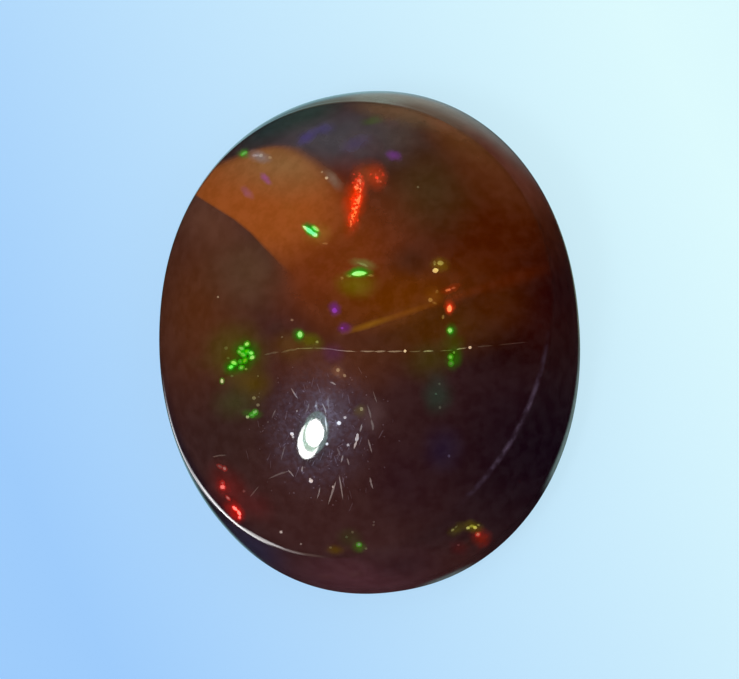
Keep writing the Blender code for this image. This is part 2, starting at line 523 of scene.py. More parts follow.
# Flecks in the stone: x and y of the middle, half length, half width (pixels), colour, brightness, and where
# it isn't 0, turn (degrees)
FLECK_DEPTH = (0.15 * MM, 0.40 * MM)
FLECKS = (
    (309, 230.5, 8, 2.2, "mint", BRIGHT, -36),
    (314.5, 234.5, 3, 2.3, "mint", BRIGHT, -30),
    (315.5, 228.5, 3.8, 1.5, "leaf", FAIR, -35),
    (325, 243.5, 3, 1, "sand", FAINT, -8),
    (359, 273.5, 7.5, 2.3, "mint", BRIGHT, 4),
    (349, 276, 3, 1.5, "sand", FAINT, -10),
    (342, 278, 1.8, 1.4, "sand", FAINT, -30),
    (371, 275.5, 3.6, 1.2, "sand", FAINT, -5),
    (363, 264.5, 6, 1.3, "leaf", FAINT, -20),
    (247, 344, 2.2, 1.9, "green", CLEAR, 30),
    (241.5, 348.5, 2.4, 1.7, "green", FAIR, -20),
    (239.5, 352, 2.0, 1.4, "green", FAIR, -30),
    (243, 354.5, 2.6, 1.9, "green", FAIR, -30),
    (247, 351.5, 2.2, 1.6, "green", FAIR, -10),
    (251, 353, 2.2, 1.6, "green", CLEAR, -10),
    (252, 357.5, 2.4, 2.0, "green", CLEAR, 20),
    (234, 363, 2.8, 1.9, "green", CLEAR, -20),
    (231, 367, 2.4, 2.0, "green", CLEAR, 20),
    (245, 360.5, 2.4, 1.5, "green", FAIR, 50),
    (240.5, 361.5, 1.3, 1.1, "green", DIM),
    (241.5, 367.5, 2.0, 1.6, "green", FAIR, 20),
    (246, 369, 1.5, 1.3, "sand", DIM),
    (232, 376, 1.6, 1.2, "leaf", FAINT),
    (226, 348, 2.0, 1.6, "leaf", FAINT),
    (228, 358, 1.6, 1.3, "leaf", FAINT),
    (222, 381, 2.2, 1.6, "leaf", BRIGHT, 90),
    (254, 398, 2.0, 1.7, "sand", DIM),
    (258, 405, 1.8, 1.6, "sand", DIM),
    (255, 412, 2.4, 1.6, "leaf", FAIR, 30),
    (252, 415, 2.0, 1.2, "leaf", DIM),
    (247.5, 417, 1.8, 1.7, "sand", FAIR),
    (300, 334.5, 3.2, 2.4, "green", CLEAR, 90),
    (317, 342, 1.6, 1.3, "yellow", DIM, 30),
    (292, 320, 1.6, 1.4, "sand", DIM),
    (334.5, 310.5, 2.8, 2.4, "violet", DIM),
    (342, 328, 1.6, 1.2, "violet", DIM),
    (440.5, 263, 3.4, 2.3, "yellow", DIM),
    (434.5, 263, 1.4, 2.4, "yellow", FAINT),
    (435.5, 270.5, 3.2, 2.3, "yellow", CLEAR, 12),
    (437, 291.5, 1.6, 1.6, "amber", FAINT),
    (430.5, 300, 2.4, 2.1, "amber", DIM, -20),
    (434.5, 303, 2.4, 1.4, "amber", FAINT, -20),
    (448, 290, 3.0, 1.4, "ember", FAIR, 15),
    (453.5, 288, 2.4, 1.2, "ember", DIM, 15),
    (449.5, 308.5, 3.6, 2.2, "rose", CLEAR, 85),
    (443, 317, 2.2, 1.5, "sand", DIM, 80),
    (450, 330.5, 2.4, 2.0, "green", CLEAR, 90),
    (450.5, 357, 1.7, 1.7, "leaf", FAIR),
    (451, 363.5, 1.8, 1.9, "leaf", DIM),
    (454, 352.5, 1.3, 1.2, "sand", DIM),
    (440, 407.5, 1.4, 1.7, "sand", FAINT),
    (439.5, 384, 1.2, 1.2, "sand", FAINT),
    (436, 394, 1.2, 1.2, "leaf", FAINT),
    (449, 456, 1.4, 1.4, "lavender", FAINT),
    (220, 466.5, 2.6, 1.0, "rose", DIM, -30),
    (224.5, 468.5, 2.0, 1.5, "rose", FAIR, -50),
    (222.5, 487, 2.3, 2.1, "rose", CLEAR),
    (222.5, 483, 1.3, 1.3, "rose", DIM),
    (228, 498, 2.4, 1.2, "rose", FAIR, -45),
    (235, 508.5, 3.2, 1.7, "rose", BRIGHT, -40),
    (239, 513, 3.0, 1.7, "rose", BRIGHT, -60),
    (239.5, 517.5, 1.6, 1.5, "rose", CLEAR, 90),
    (244, 491, 1.5, 1.4, "rose", FAINT),
    (359, 544.5, 1.7, 1.6, "mint", FAIR),
    (330.5, 547.5, 1.7, 1.5, "sand", FAINT),
    (346.5, 537, 1.6, 1.2, "leaf", FAINT),
    (352.5, 532, 1.4, 1.2, "sand", FAINT),
    (366, 548.5, 1.5, 1.2, "sand", FAINT),
    (373.5, 525, 1.2, 1.2, "sand", FAINT),
    (452.5, 530, 2.0, 1.5, "sand", DIM, 40),
    (456, 527, 2.0, 0.9, "sand", FAINT, 45),
    (468, 528, 2.0, 1.8, "sand", FAIR),
    (471.5, 526, 3.0, 1.4, "yellow", DIM, 15),
    (475, 527.5, 2.2, 1.7, "sand", FAIR, -25),
    (478.5, 525, 1.6, 1.0, "sand", DIM, -30),
    (478, 534.5, 1.8, 1.8, "rose", FAIR),
    (458.5, 545, 1.6, 1.5, "rose", FAINT),
    (244, 153.5, 2.6, 1.6, "leaf", DIM, 30),
    (255.5, 155.5, 3.6, 1.5, "lavender", FAINT),
    (261, 155.5, 2.0, 2.2, "white", FAINT),
    (270, 157.5, 2.2, 1.5, "sand", FAINT),
    (338, 370, 1.8, 1.9, "sand", DIM),
    (344.5, 375.5, 2.0, 1.4, "sand", DIM, -40),
    (361.5, 409, 1.8, 2.2, "sand", DIM),
)

# The long red fleck is a crumpled seam: the pixels its threads pass, half width, colour, brightness
RED_SEAM = ((360, 174), (359, 184), (357.5, 197), (354.5, 212), (350, 228))
RED_THREADS = (
    (RED_SEAM, 5.0, "ruby", DIM),
    (RED_SEAM, 2.0, "ember", FAIR),
    (((358.5, 180), (359, 185), (356, 187), (359.5, 190), (358, 194)), 2.1, "ember", CLEAR),
    (((358, 192), (358, 199), (356.5, 204), (354, 209), (353.5, 214)), 2.6, "ember", CLEAR),
    (((357, 202), (355, 206), (355, 210), (352.5, 217), (351, 223)), 2.1, "ember", CLEAR),
    (((376, 180), (379, 181.5), (382, 181)), 1.8, "ember", FAINT),
)
THREAD_DEPTH = (0.5, 0.8)  # of the deepest fleck's depth
# Fine grains strewn along the seam and beside it: the pixels they follow, how many, spread (pixels)
CRUMBS = ((RED_SEAM, 80, 2.3), (((379, 172), (380, 179), (378, 185)), 12, 3.2))
CRUMB_COLOURS = (("ruby", FAINT), ("ruby", DIM), ("ruby", FAIR), ("ember", FAINT))
CRUMB_STEPS = 8
CRUMB_HALF = (0.6, 1.3)
CRUMB_STRETCH = 1.4

# Hairlines in the polish, a crack and scratches, drawn as glowing threads; near the lamp's image the
# scratches are painted glints: the pixels they pass, half width, brightness
LINE_DEPTH = 0.03 * MM
CRACK = (
    ((264, 355), (272, 353), (279, 352), 1.0, TRACE),
    ((281, 352.5), (290, 350), (298, 349.5), 1.0, TRACE),
    ((295, 348.5), (304, 348.5), (314, 348), 0.7, FAINT),
    ((313, 348), (324, 348.5), (336, 349.5), 0.7, FAINT),
    ((332, 349.5), (345, 351), (357, 351.5), 0.5, DIM),
    ((360, 351), (368, 351.5), (375, 351), 0.6, DIM),
    ((374, 351.5), (380, 351.5), (386, 351), 0.7, DIM),
    ((387, 351.5), (394, 351.5), (403, 351), 0.7, DIM),
    ((423, 351.5), (428, 351), (434, 351), 0.8, DIM),
    ((409, 351.5), (415, 351.5), (421, 351), 0.5, FAINT),
    ((439, 351), (446, 350.5), (453, 350), 0.5, FAINT),
    ((456, 349.5), (461, 348.5), (467, 348), 0.6, DIM),
    ((477, 347), (485, 346), (493, 345.5), 0.7, TRACE),
    ((498, 345), (513, 343.5), (528, 342), 0.7, TRACE),
)
SCRATCH_GLINTS = (
    ((336, 481), (333, 490), (328, 505), 1.0, DIM),
    ((339, 475), (341, 486), (343, 500), 0.7, DIM),
    ((320, 487), (319, 493), (317, 499), 0.6, DIM),
    ((370, 477), (371, 483), (373, 489), 0.9, DIM),
    ((367, 404), (370, 413), (371, 419), 0.8, FAINT),
    ((371, 419), (373, 426), (373, 431), 1.0, FAINT),
    ((368, 439), (370, 446), (372, 453), 0.7, DIM),
    ((358, 433), (357, 438), (356, 442), 1.5, FAIR),
    ((357, 441), (355, 445), (354, 449), 0.9, FAIR),
    ((362, 424), (361, 428), (360, 432), 0.8, DIM),
    ((291, 388), (294, 393), (298, 399), 0.7, DIM),
    ((268, 479), (279, 474), (289, 471), 0.9, FAINT),
    ((288, 470), (291, 473), (294, 477), 0.8, DIM),
    ((276, 409), (274, 413), (272, 418), 0.6, FAINT),
    ((285, 446), (283, 453), (281, 460), 0.6, FAINT),
    ((373, 391), (375, 397), (377, 403), 0.6, FAINT),
    ((330, 382), (333, 383), (336, 385), 0.8, DIM),
    ((212, 457), (219, 455.5), (227, 455), 0.7, FAINT),
    ((250, 497), (254, 492), (259, 486), 0.6, FAINT),
    ((309, 403), (308, 408), (305, 414), 0.7, FAINT),
    ((316, 401), (317, 406), (316, 411), 0.6, FAINT),
    ((322, 403), (325, 409), (326, 415), 0.6, DIM),
    ((328, 396), (328, 403), (329, 411), 0.6, FAINT),
    ((343, 455), (342, 459), (341, 463), 0.8, DIM),
    ((347, 458), (348, 461), (349, 465), 0.8, DIM),
    ((337, 448), (339, 452), (340, 456), 0.7, FAINT),
    ((303, 466), (302, 469), (302, 472), 0.9, DIM),
    ((325, 416), (326, 424), (327, 432), 0.7, FAIR),
)

# Dust and nicks on the surface, glowing; those round the lamp's image are painted glints: x, y and half size
# (pixels), brightness
DUST_GLINTS = (
    (281, 532, 1.6, FAIR), (311, 481, 2.1, CLEAR), (339, 423, 2.2, CLEAR), (345, 417.5, 1.6, FAIR),
    (292, 434, 2.0, CLEAR), (293, 437, 1.5, FAIR), (327, 444, 1.5, CLEAR), (348, 445, 1.4, FAIR),
    (218, 297, 1.1, DIM), (418, 187, 1.2, FAINT), (326.5, 178, 1.7, DIM), (282, 337, 1.0, FAINT),
    (301, 544, 1.2, DIM), (374, 522, 1.0, FAINT), (405, 351, 1.5, CLEAR), (470, 347.5, 1.6, CLEAR),
    (322, 172, 1.2, FAINT), (310, 479, 1.2, FAIR), (297, 411, 1.1, DIM), (316, 406, 1.4, DIM),
    (268, 422, 0.9, FAINT), (333, 487, 1.2, FAIR), (258, 376, 0.9, FAINT),
)

# Painted glints: the polish is scuffed round the lamp's image, and its many fine marks glow as if they caught
# the lamp's light, drawn at random
SCUFF_GLINT_MIDDLE = (322, 438)
SCUFF_GLINT_RADII = (18, 78)
SCUFF_GLINT_CROWDING = 1.5  # more than 1: thicker towards the middle
SCUFF_GLINT_LEVELS = (TRACE, TRACE, TRACE, FAINT)
SCUFF_GLINT_DOTS = 150
SCUFF_GLINT_SCRATCHES = 50
DOT_HALVES = ((0.5, 1.1), (0.4, 0.8))  # spans of the half length and of the half width (pixels)
SCRATCH_HALVES = ((2.0, 6.0), (0.3, 0.5))
SCRATCH_TURN = (80, 28)  # mean and spread (degrees)


def screen_colour(colour, gain):
    """A colour given as seen on screen, 0 to 255, times a gain, in the linear values that shaders take."""
    linear = []
    for value in colour:
        share = value / 255
        share = share / 12.92 if share <= 0.04045 else ((share + 0.055) / 1.055) ** 2.4
        linear.append(min(share * gain, STRONGEST))
    return (*linear, 1.0)


def body_colour(colour):
    """A body colour as it should look, made strong enough for the share of light that it sends back."""
    return screen_colour(colour, BODY_GAIN)


def set_inputs(tree, node, inputs):
    """Sets a node's inputs, given by name or in order, to values or to outputs of other nodes."""
    for name, value in inputs.items() if isinstance(inputs, dict) else enumerate(inputs):
        if isinstance(value, bpy.types.NodeSocket):
            tree.links.new(value, node.inputs[name])
        else:
            node.inputs[name].default_value = value


def add_node(tree, kind, inputs=(), output=0, **settings):
    """One of the outputs of a new node."""
    made = tree.nodes.new("ShaderNode" + kind)
    for name, value in settings.items():
        setattr(made, name, value)
    set_inputs(tree, made, inputs)
    return made.outputs[output]


def dot_product(tree, place, way):
    return add_node(tree, "VectorMath", (place, way), "Value", operation="DOT_PRODUCT")


def new_material(name):
    """A material, its node tree and its shader."""
    material = bpy.data.materials.new(name)
    material.use_nodes = True
    return material, material.node_tree, material.node_tree.nodes["Principled BSDF"]


class Painter:
    """Builds a material's colour out of soft patches laid one over another."""

    def __init__(self, tree):
        self.tree = tree
        self.place = self.node("TexCoord", (), "Object")
        self.height = self.node("SeparateXYZ", (self.place,), "Z")
        self.flat = self.picture_place()
        self.stirred = self.stirred_place()

    def node(self, kind, inputs=(), output=0, **settings):
        return add_node(self.tree, kind, inputs, output, **settings)

    def picture_place(self):
        """The point's place in the picture, in pixels right of and above the stone's middle."""
        turn = Matrix((RIGHT, UP, BACK))
        middle = turn @ GIRDLE_MIDDLE * PIXELS_PER_METRE
        inputs = (self.place, -middle, turn.to_euler("XYZ"), (PIXELS_PER_METRE,) * 3)
        return self.node("Mapping", inputs, vector_type="POINT")

    def stirred_place(self):
        """The same, shifted a little by noise, so that patches get cloudy edges."""
        clouds = self.noise(*STIR_NOISE, "Color")
        centred = self.node("VectorMath", (clouds, NOISE_MEAN), operation="SUBTRACT")
        return self.node("VectorMath", (centred, STIR_REACH, self.flat), operation="MULTIPLY_ADD")

    def noise(self, size, detail, roughness=0.5, output="Fac"):
        inputs = {"Vector": self.place, "Scale": 1 / size, "Detail": detail, "Roughness": roughness}
        return self.node("TexNoise", inputs, output)

    def ramp(self, value, low, high, to_low=0.0, to_high=1.0):
        """The value taken smoothly from one span to another."""
        inputs = (value, low, high, to_low, to_high)
        return self.node("MapRange", inputs, interpolation_type="SMOOTHSTEP")

    def clouds(self, size, detail, *spans):
        return self.ramp(self.noise(size, detail), *spans)

    def combined(self, operation, values):
        total, *others = values
        for value in others:
            total = self.node("Math", (total, value), operation=operation)
        return total

    def product(self, *values):
        return self.combined("MULTIPLY", values)

    def largest(self, *values):
        return self.combined("MAXIMUM", values)

    def gradient(self, shape, place, x, y, half_x, half_y, turn):
        """1 in an ellipse's middle and 0 at its edge, or where linear, 0 in the middle and 1 at the edge."""
        middle = (x - STONE_IN_PICTURE[0], STONE_IN_PICTURE[1] - y, 0.0)
        inputs = (place, middle, (0.0, 0.0, math.radians(turn)), (half_x, half_y, ZONE_DEPTH))
        placed = self.node("Mapping", inputs, vector_type="TEXTURE")
        return self.node("TexGradient", (placed,), "Fac", gradient_type=shape)

    def patch(self, x, y, half_x, half_y, strength=1.0, turn=0, fade=1.0, crisp=False):
        """How much an ellipse covers a point. The edge of a crisp one isn't stirred by noise."""
        fall = self.gradient("SPHERICAL", self.flat if crisp else self.stirred, x, y, half_x, half_y, turn)
        return self.ramp(fall, 0.0, fade, 0.0, strength)

    def beyond(self, x, y, turn, width):
        """1 beyond a straight edge through a pixel, on the side to which turn points, and 0 before it."""
        x -= math.cos(math.radians(turn)) * width / 2
        y += math.sin(math.radians(turn)) * width / 2
        return self.ramp(self.gradient("LINEAR", self.flat, x, y, width, width, turn), 0.0, 1.0)

    def edges(self, rows):
        return [self.beyond(*row) for row in rows]

    def heights(self, *spans):
        return [self.ramp(self.height, *span) for span in spans]

    def over(self, below, colour, cover):
        """A colour laid over what is below, where cover says. Each may be an output or a body colour."""
        a, b = (body_colour(value) if isinstance(value, tuple) else value for value in (below, colour))
        return self.node("Mix", {"Factor": cover, "A": a, "B": b}, "Result", data_type="RGBA")

    def cover(self, zone, *masks, crisp=False):
        """How much a zone covers a point, where every mask does too."""
        x, y, half_x, half_y, colour, *others = zone
        return self.product(self.patch(x, y, half_x, half_y, *others, crisp=crisp), *masks)

    def lay(self, below, zone, *masks, crisp=False):
        """A zone laid over what is below."""
        return self.over(below, zone[4], self.cover(zone, *masks, crisp=crisp))

    def lay_all(self, below, zones, *masks, crisp=False):
        for zone in zones:
            below = self.lay(below, zone, *masks, crisp=crisp)
        return below

    def line(self, below, start, end, half_width, colour, strength):
        """A soft straight line, strongest in its middle."""
        middle = [mixed(a, b, 0.5) for a, b in zip(start, end)]
        turn = math.degrees(math.atan2(start[1] - end[1], end[0] - start[0]))
        zone = (*middle, math.dist(start, end) / 2, half_width, colour, strength, turn)
        return self.lay(below, zone, crisp=True)


def paint_bright_zone(painter, below):
    """The orange upper zone: the body's orange, painted brighter where light from behind shines through it.
    Its lower edge is straight and sharp, then bends down and softens.
    """
    on_top, = painter.heights(BRIGHT_SPAN)
    sharp = painter.largest(*painter.edges(BRIGHT_EDGES))
    soft = painter.largest(sharp, painter.beyond(*BRIGHT_SOFT_EDGE))
    near = painter.cover(BRIGHT_NEAR, sharp, *painter.edges(HAZE_EDGES), on_top)
    colour = painter.lay(below, BRIGHT_WIDE, soft, on_top)
    colour = painter.over(colour, BRIGHT_NEAR[4], near)
    return painter.lay(colour, BRIGHT_PALE, near)


def paint_ridge_highlight(painter, below):
    """Painted highlight: a pale, broken line of mirrored light along the shoulder ridge at the lower right.
    """
    ends = painter.heights(RIDGE_HIGHLIGHT_RISE, RIDGE_HIGHLIGHT_FALL)
    return painter.lay(below, RIDGE_PAINTED_HIGHLIGHT, *ends, painter.clouds(*RIDGE_HIGHLIGHT_CLOUDS))


def paint_sides(painter, below):
    """The sides that the photograph doesn't show are brown, with broad orange and olive clouds."""
    normal = painter.node("NewGeometry", (), "Normal")
    plain = BODY_COLOUR
    for colour, clouds in SIDE_CLOUDS:
        plain = painter.over(plain, colour, painter.clouds(*clouds))
    return painter.over(below, plain, painter.ramp(dot_product(painter.tree, normal, BACK), *TURNED_AWAY))


def paint_scuffed_sheen(painter, below):
    """Painted sheen round the lamp's image, its light scattered by the scuffed polish, and painted shade
    right beside it.
    """
    patches = [painter.patch(*row) for row in (SCUFFED_SHEEN_WIDE, SCUFFED_SHEEN_NEAR)]
    scuffed_sheen = painter.product(painter.clouds(*SCUFFED_SHEEN_CLOUDS), painter.largest(*patches))
    return painter.lay(painter.over(below, SCUFFED_SHEEN_COLOUR, scuffed_sheen), PAINTED_SHADE_BY_LAMP, crisp=True)


def paint_body(painter, is_band):
    colour = paint_bright_zone(painter, painter.lay_all(BODY_COLOUR, BODY_ZONES))
    colour = painter.lay(colour, CENTRE_ZONE, painter.beyond(*INNER_PLANE))
    # painted shade just above the shoulder at the lower left
    colour = painter.lay(colour, SHOULDER_PAINTED_SHADE, *painter.heights(SHOULDER_PAINTED_SHADE_SPAN), crisp=True)
    for row in INNER_LINES:
        colour = painter.line(colour, *row)
    colour = painter.over(colour, painter.lay_all(colour, BAND_ZONES), is_band)
    colour = paint_ridge_highlight(painter, colour)
    # painted sheen: the pale crescent on the side band at the top
    colour = painter.lay(colour, BAND_PAINTED_SHEEN, *painter.heights(BAND_SHEEN_SPAN), crisp=True)
    # painted light and shade along the girdle's edge at the right
    colour = painter.lay_all(colour, EDGE_PAINTED_LIGHT_AND_SHADE, *painter.heights(EDGE_LIGHT_TOP, EDGE_LIGHT_FOOT), crisp=True)
    colour = paint_scuffed_sheen(painter, paint_sides(painter, colour))
    colour = painter.lay_all(colour, GLOWS)
    mottle = painter.noise(*MOTTLE_NOISE)
    gain, shift = (painter.ramp(mottle, *MOTTLE_SPAN, *ends) for ends in (MOTTLE_GAIN, MOTTLE_SHIFT))
    return painter.node("VectorMath", (colour, gain, shift), operation="MULTIPLY_ADD")


def make_opal_material():
    """The dome has the best polish, the side band less, and the flat back the least."""
    material, tree, shader = new_material("opal")
    painter = Painter(tree)
    is_band, is_back = painter.heights(BAND_TOP, BACK_TOP)
    roughness = DOME_ROUGHNESS
    for part, rougher in ((is_band, BAND_ROUGHER), (is_back, BACK_ROUGHER)):
        roughness = painter.node("Math", (part, rougher, roughness), operation="MULTIPLY_ADD")
    ripple = {"Distance": RIPPLE_DEPTH, "Height": painter.noise(*RIPPLE_NOISE)}
    set_inputs(tree, shader, {
        "Base Color": paint_body(painter, is_band),
        "Roughness": roughness,
        "Normal": painter.node("Bump", ripple, "Normal"),
        "IOR": OPAL_IOR,
        "Transmission Weight": TRANSMISSION,
    })
    depth = {"Color": DEPTH_COLOUR, "Density": DEPTH_DENSITY}
    absorption = painter.node("VolumeAbsorption", depth, "Volume")
    set_inputs(tree, tree.nodes["Material Output"], {"Volume": absorption})
    return material


def make_stone():
    stone = make_object("opal_body", POINTS, FACES)
    stone.data.materials.append(make_opal_material())
    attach(stone, "root")
    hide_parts("opal_stone")


SEED = 4
GRAIN_SHAPE = ((-1.0, 0.0), (-0.65, 0.75), (0.0, 1.0), (0.65, 0.75), (1.0, 0.0))  # along it, and how wide
GRAIN_WOBBLE = (0.8, 1.15)  # how its width departs from that
THREAD_WOBBLE = (0.7, 1.2)  # how a thread's width varies
THREAD_END = 0.7  # it is thinner at its ends
SLIVER_SIDES = 4
SLIVER_FLATNESS = 0.5


class Slivers:
    """Closed grains and threads of one colour, gathered into one mesh."""

    def __init__(self):
        self.points = []
        self.faces = []
        self.levels = []

    def add(self, route, half_widths, depth, level):
        """A sliver that follows pixels below the surface, pointed at both ends, with four sides."""
        places = [inside_stone(pixel, depth) for pixel in route]
        first = len(self.points)
        self.points.append(places[0])
        for before, place, after, half_width in zip(places, places[1:], places[2:], half_widths):
            across = (after - before).cross(BACK).normalized() * half_width / PIXELS_PER_METRE
            thick = BACK * across.length * SLIVER_FLATNESS
            self.points += [place + across, place + thick, place - across, place - thick]
        self.points.append(places[-1])
        faces = ring_faces(len(places) - 2, SLIVER_SIDES, first)
        self.faces += faces
        self.levels += [level] * len(faces)


def along_route(pixels, steps=3):
    """The pixels with more places between them."""
    route = [pixels[0]]
    for start, end in zip(pixels, pixels[1:]):
        route += [*between(start, end, steps), end]
    return route


def add_grain(slivers, pixel, halves, turn, depth, level, draw):
    across, down = math.cos(math.radians(turn)), -math.sin(math.radians(turn))
    route = [(pixel[0] + across * halves[0] * along, pixel[1] + down * halves[0] * along)
             for along, wide in GRAIN_SHAPE]
    half_widths = [halves[1] * wide * draw.uniform(*GRAIN_WOBBLE) for along, wide in GRAIN_SHAPE[1:-1]]
    slivers.add(route, half_widths, depth, level)


def add_thread(slivers, pixels, half_width, depth, level, draw):
    route = along_route(pixels)
    half_widths = [half_width * draw.uniform(*THREAD_WOBBLE) for place in route[1:-1]]
    half_widths[0] *= THREAD_END
    half_widths[-1] *= THREAD_END
    slivers.add(route, half_widths, depth, level)


def add_crumbs(by_colour, draw):
    for pixels, count, spread in CRUMBS:
        route = along_route(pixels, CRUMB_STEPS)
        for crumb in range(count):
            pixel = [value + draw.gauss(0, spread) for value in draw.choice(route)]
            half = draw.uniform(*CRUMB_HALF)
            name, level = draw.choice(CRUMB_COLOURS)
            halves = (half * CRUMB_STRETCH, half)
            turn = draw.uniform(0, 180)
            add_grain(by_colour[name], pixel, halves, turn, FLECK_DEPTH[0], level, draw)


def add_scuff_glints(slivers, draw):
    """Painted glints: fine glowing marks round the lamp's image, thicker near it; the scratches run mostly up
    and down.
    """
    for mark in range(SCUFF_GLINT_DOTS + SCUFF_GLINT_SCRATCHES):
        angle = draw.uniform(0, 2 * math.pi)
        out = mixed(*SCUFF_GLINT_RADII, draw.random() ** SCUFF_GLINT_CROWDING)
        pixel = (SCUFF_GLINT_MIDDLE[0] + out * math.cos(angle), SCUFF_GLINT_MIDDLE[1] + out * math.sin(angle))
        level = draw.choice(SCUFF_GLINT_LEVELS)
        is_dot = mark < SCUFF_GLINT_DOTS
        halves = [draw.uniform(*span) for span in (DOT_HALVES if is_dot else SCRATCH_HALVES)]
        turn = draw.uniform(0, 180) if is_dot else draw.gauss(*SCRATCH_TURN)
        add_grain(slivers, pixel, halves, turn, LINE_DEPTH, level, draw)


def glowing_material(name, colour, brightness):
    material, tree, shader = new_material(name)
    shade = (*colour, 1.0)
    set_inputs(tree, shader, {"Base Color": shade, "Emission Color": shade, "Emission Strength": brightness})
    return material


def before_the_body(colour, brightness):
    """The light that comes out of the tinted body in that colour and brightness, before it passes through."""
    tint = [math.sqrt(part) for part in body_colour(BODY_COLOUR)[:3]]
    needed = [value * brightness / part / TRANSMISSION for value, part in zip(colour, tint)]
    strongest = max(needed)
    return [value / strongest for value in needed], strongest


def make_flecks():
    """The play of colour and the marks in the polish: slivers below the surface, a mesh for each colour; they
    glow, as emission stands in for the light that they catch.
    """
    draw = random.Random(SEED)
    by_colour = {name: Slivers() for name in FLECK_COLOURS}
    for x, y, length, width, name, level, *turned in FLECKS:
        turn = turned[0] if turned else 0
        add_grain(by_colour[name], (x, y), (length, width), turn, draw.uniform(*FLECK_DEPTH), level, draw)
        if name in FLECK_RIMS and level >= DIM:
            wider = (length + RIM_WIDTH, width + RIM_WIDTH)
            add_grain(by_colour[FLECK_RIMS[name]], (x, y), wider, turn, RIM_DEPTH, RIM_LEVEL, draw)
    for index, (pixels, half_width, name, level) in enumerate(RED_THREADS):
        depth = FLECK_DEPTH[1] * (draw.uniform(*THREAD_DEPTH) if index else 1)
        add_thread(by_colour[name], pixels, half_width, depth, level, draw)
    add_crumbs(by_colour, draw)
    for name, rows in (("cream", CRACK), ("white", SCRATCH_GLINTS)):
        for *pixels, half_width, level in rows:
            add_thread(by_colour[name], pixels, half_width, LINE_DEPTH, level, draw)
    for x, y, half, level in DUST_GLINTS:
        add_grain(by_colour["white"], (x, y), (half, half), draw.uniform(0, 180), LINE_DEPTH, level, draw)
    add_scuff_glints(by_colour["lavender"], draw)
    for name, slivers in by_colour.items():
        make_fleck_piece(name, slivers)


def make_fleck_piece(name, slivers):
    flecks = make_object(f"flecks_{name}", slivers.points, slivers.faces)
    levels = sorted(set(slivers.levels))
    for level in levels:
        material = glowing_material(f"{name}_{level}", *before_the_body(FLECK_COLOURS[name], level))
        flecks.data.materials.append(material)
    for face, level in zip(flecks.data.polygons, slivers.levels):
        face.material_index = levels.index(level)
    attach(flecks, "root")


FLOOR_RADIUS = 0.36
RIM_RADIUS = 0.46
RIM_HEIGHT = 0.12
FLOOR_STEPS = 96
RIM_STEPS = 12
FLOOR_GAP = 0.00001
FLOOR_LEFT = (159, 205, 253)
FLOOR_RIGHT = (222, 252, 255)
FLOOR_SLANT = 0.5  # how much of the change runs towards the picture's top, for each 1 to its right
FLOOR_SPAN = 18.0 * MM  # the colour changes over this width
FLOOR_GLOW = 0.85  # share of its light that the paper gives by itself, as on a light table


def make_floor():
    """A pale round floor that curves up into a low rim, which is the backdrop in level views."""
    line = [(FLOOR_RADIUS, 0.0)]
    for step in range(1, RIM_STEPS + 1):
        turn = math.pi / 2 * step / RIM_STEPS
        line.append((mixed(FLOOR_RADIUS, RIM_RADIUS, math.sin(turn)), RIM_HEIGHT * (1 - math.cos(turn))))
    points = [(0.0, 0.0, -FLOOR_GAP)]
    for radius, height in line:
        for angle in angles(FLOOR_STEPS):
            points.append((radius * math.cos(angle), radius * math.sin(angle), height - FLOOR_GAP))
    floor = make_object("floor", points, ring_faces(len(line), FLOOR_STEPS, closed=False))
    floor.data.materials.append(make_floor_material())
    floor.visible_glossy = False


def make_floor_material():
    """Pale blue paper, lighter to the picture's right and top."""
    material, tree, shader = new_material("pale_floor")
    place = add_node(tree, "TexCoord", (), "Object")
    across = dot_product(tree, place, (RIGHT + UP * FLOOR_SLANT).normalized())
    share = add_node(tree, "MapRange", (across, -FLOOR_SPAN / 2, FLOOR_SPAN / 2))
    inputs = {"Emission Strength": 1.0, "Roughness": 0.9, "Specular IOR Level": 0.0}
    for name, part in (("Base Color", 1 - FLOOR_GLOW), ("Emission Color", FLOOR_GLOW)):
        ends = {"Factor": share, "A": screen_colour(FLOOR_LEFT, part), "B": screen_colour(FLOOR_RIGHT, part)}
        inputs[name] = add_node(tree, "Mix", ends, "Result", data_type="RGBA")
    set_inputs(tree, shader, inputs)
    return material


def facing_axes(away):
    """The picture's right and up, as seen on a lamp that faces the stone from the direction away."""
    across = (RIGHT - away * RIGHT.dot(away)).normalized()
    return across, away.cross(across)


def make_area_light(name, place, size, radiance):
    """A soft round light that faces the stone and isn't seen in the polish."""
    data = bpy.data.lights.new(name, "AREA")
    data.shape = "ELLIPSE"
    data.size = data.size_y = size
    data.energy = radiance * math.pi * (math.pi / 4 * size**2)
    away = place.normalized()
    lamp = put_in_scene(name, data, place, (*facing_axes(away), away))
    lamp.visible_glossy = False


# The lamp as the polish shows it, from back to front: middle and half sizes (pixels), turn, colour, radiance
LAMP_DISTANCE = 0.25
LAMP_STEP = 0.002  # each disc lies this much nearer to the stone than the one behind it
LAMP_SIZE_OF_PIXEL = 0.0013  # what shows a pixel wide in the polish is this wide at the lamp
LAMP_DISCS = (
    ((314.8, 432.5), (15.4, 22.4), -12, (0.55, 1.0, 0.90), 3.0),
    ((308.9, 441.2), (13.4, 19.6), -14, (0.96, 1.0, 0.96), 40.0),
    ((312.4, 435.8), (11.4, 16.6), -8, (0.70, 1.0, 0.80), 15.0),
    ((315.2, 432.6), (10.6, 13.4), -6, (1.0, 1.0, 1.0), 60.0),
)
DISC_STEPS = 48


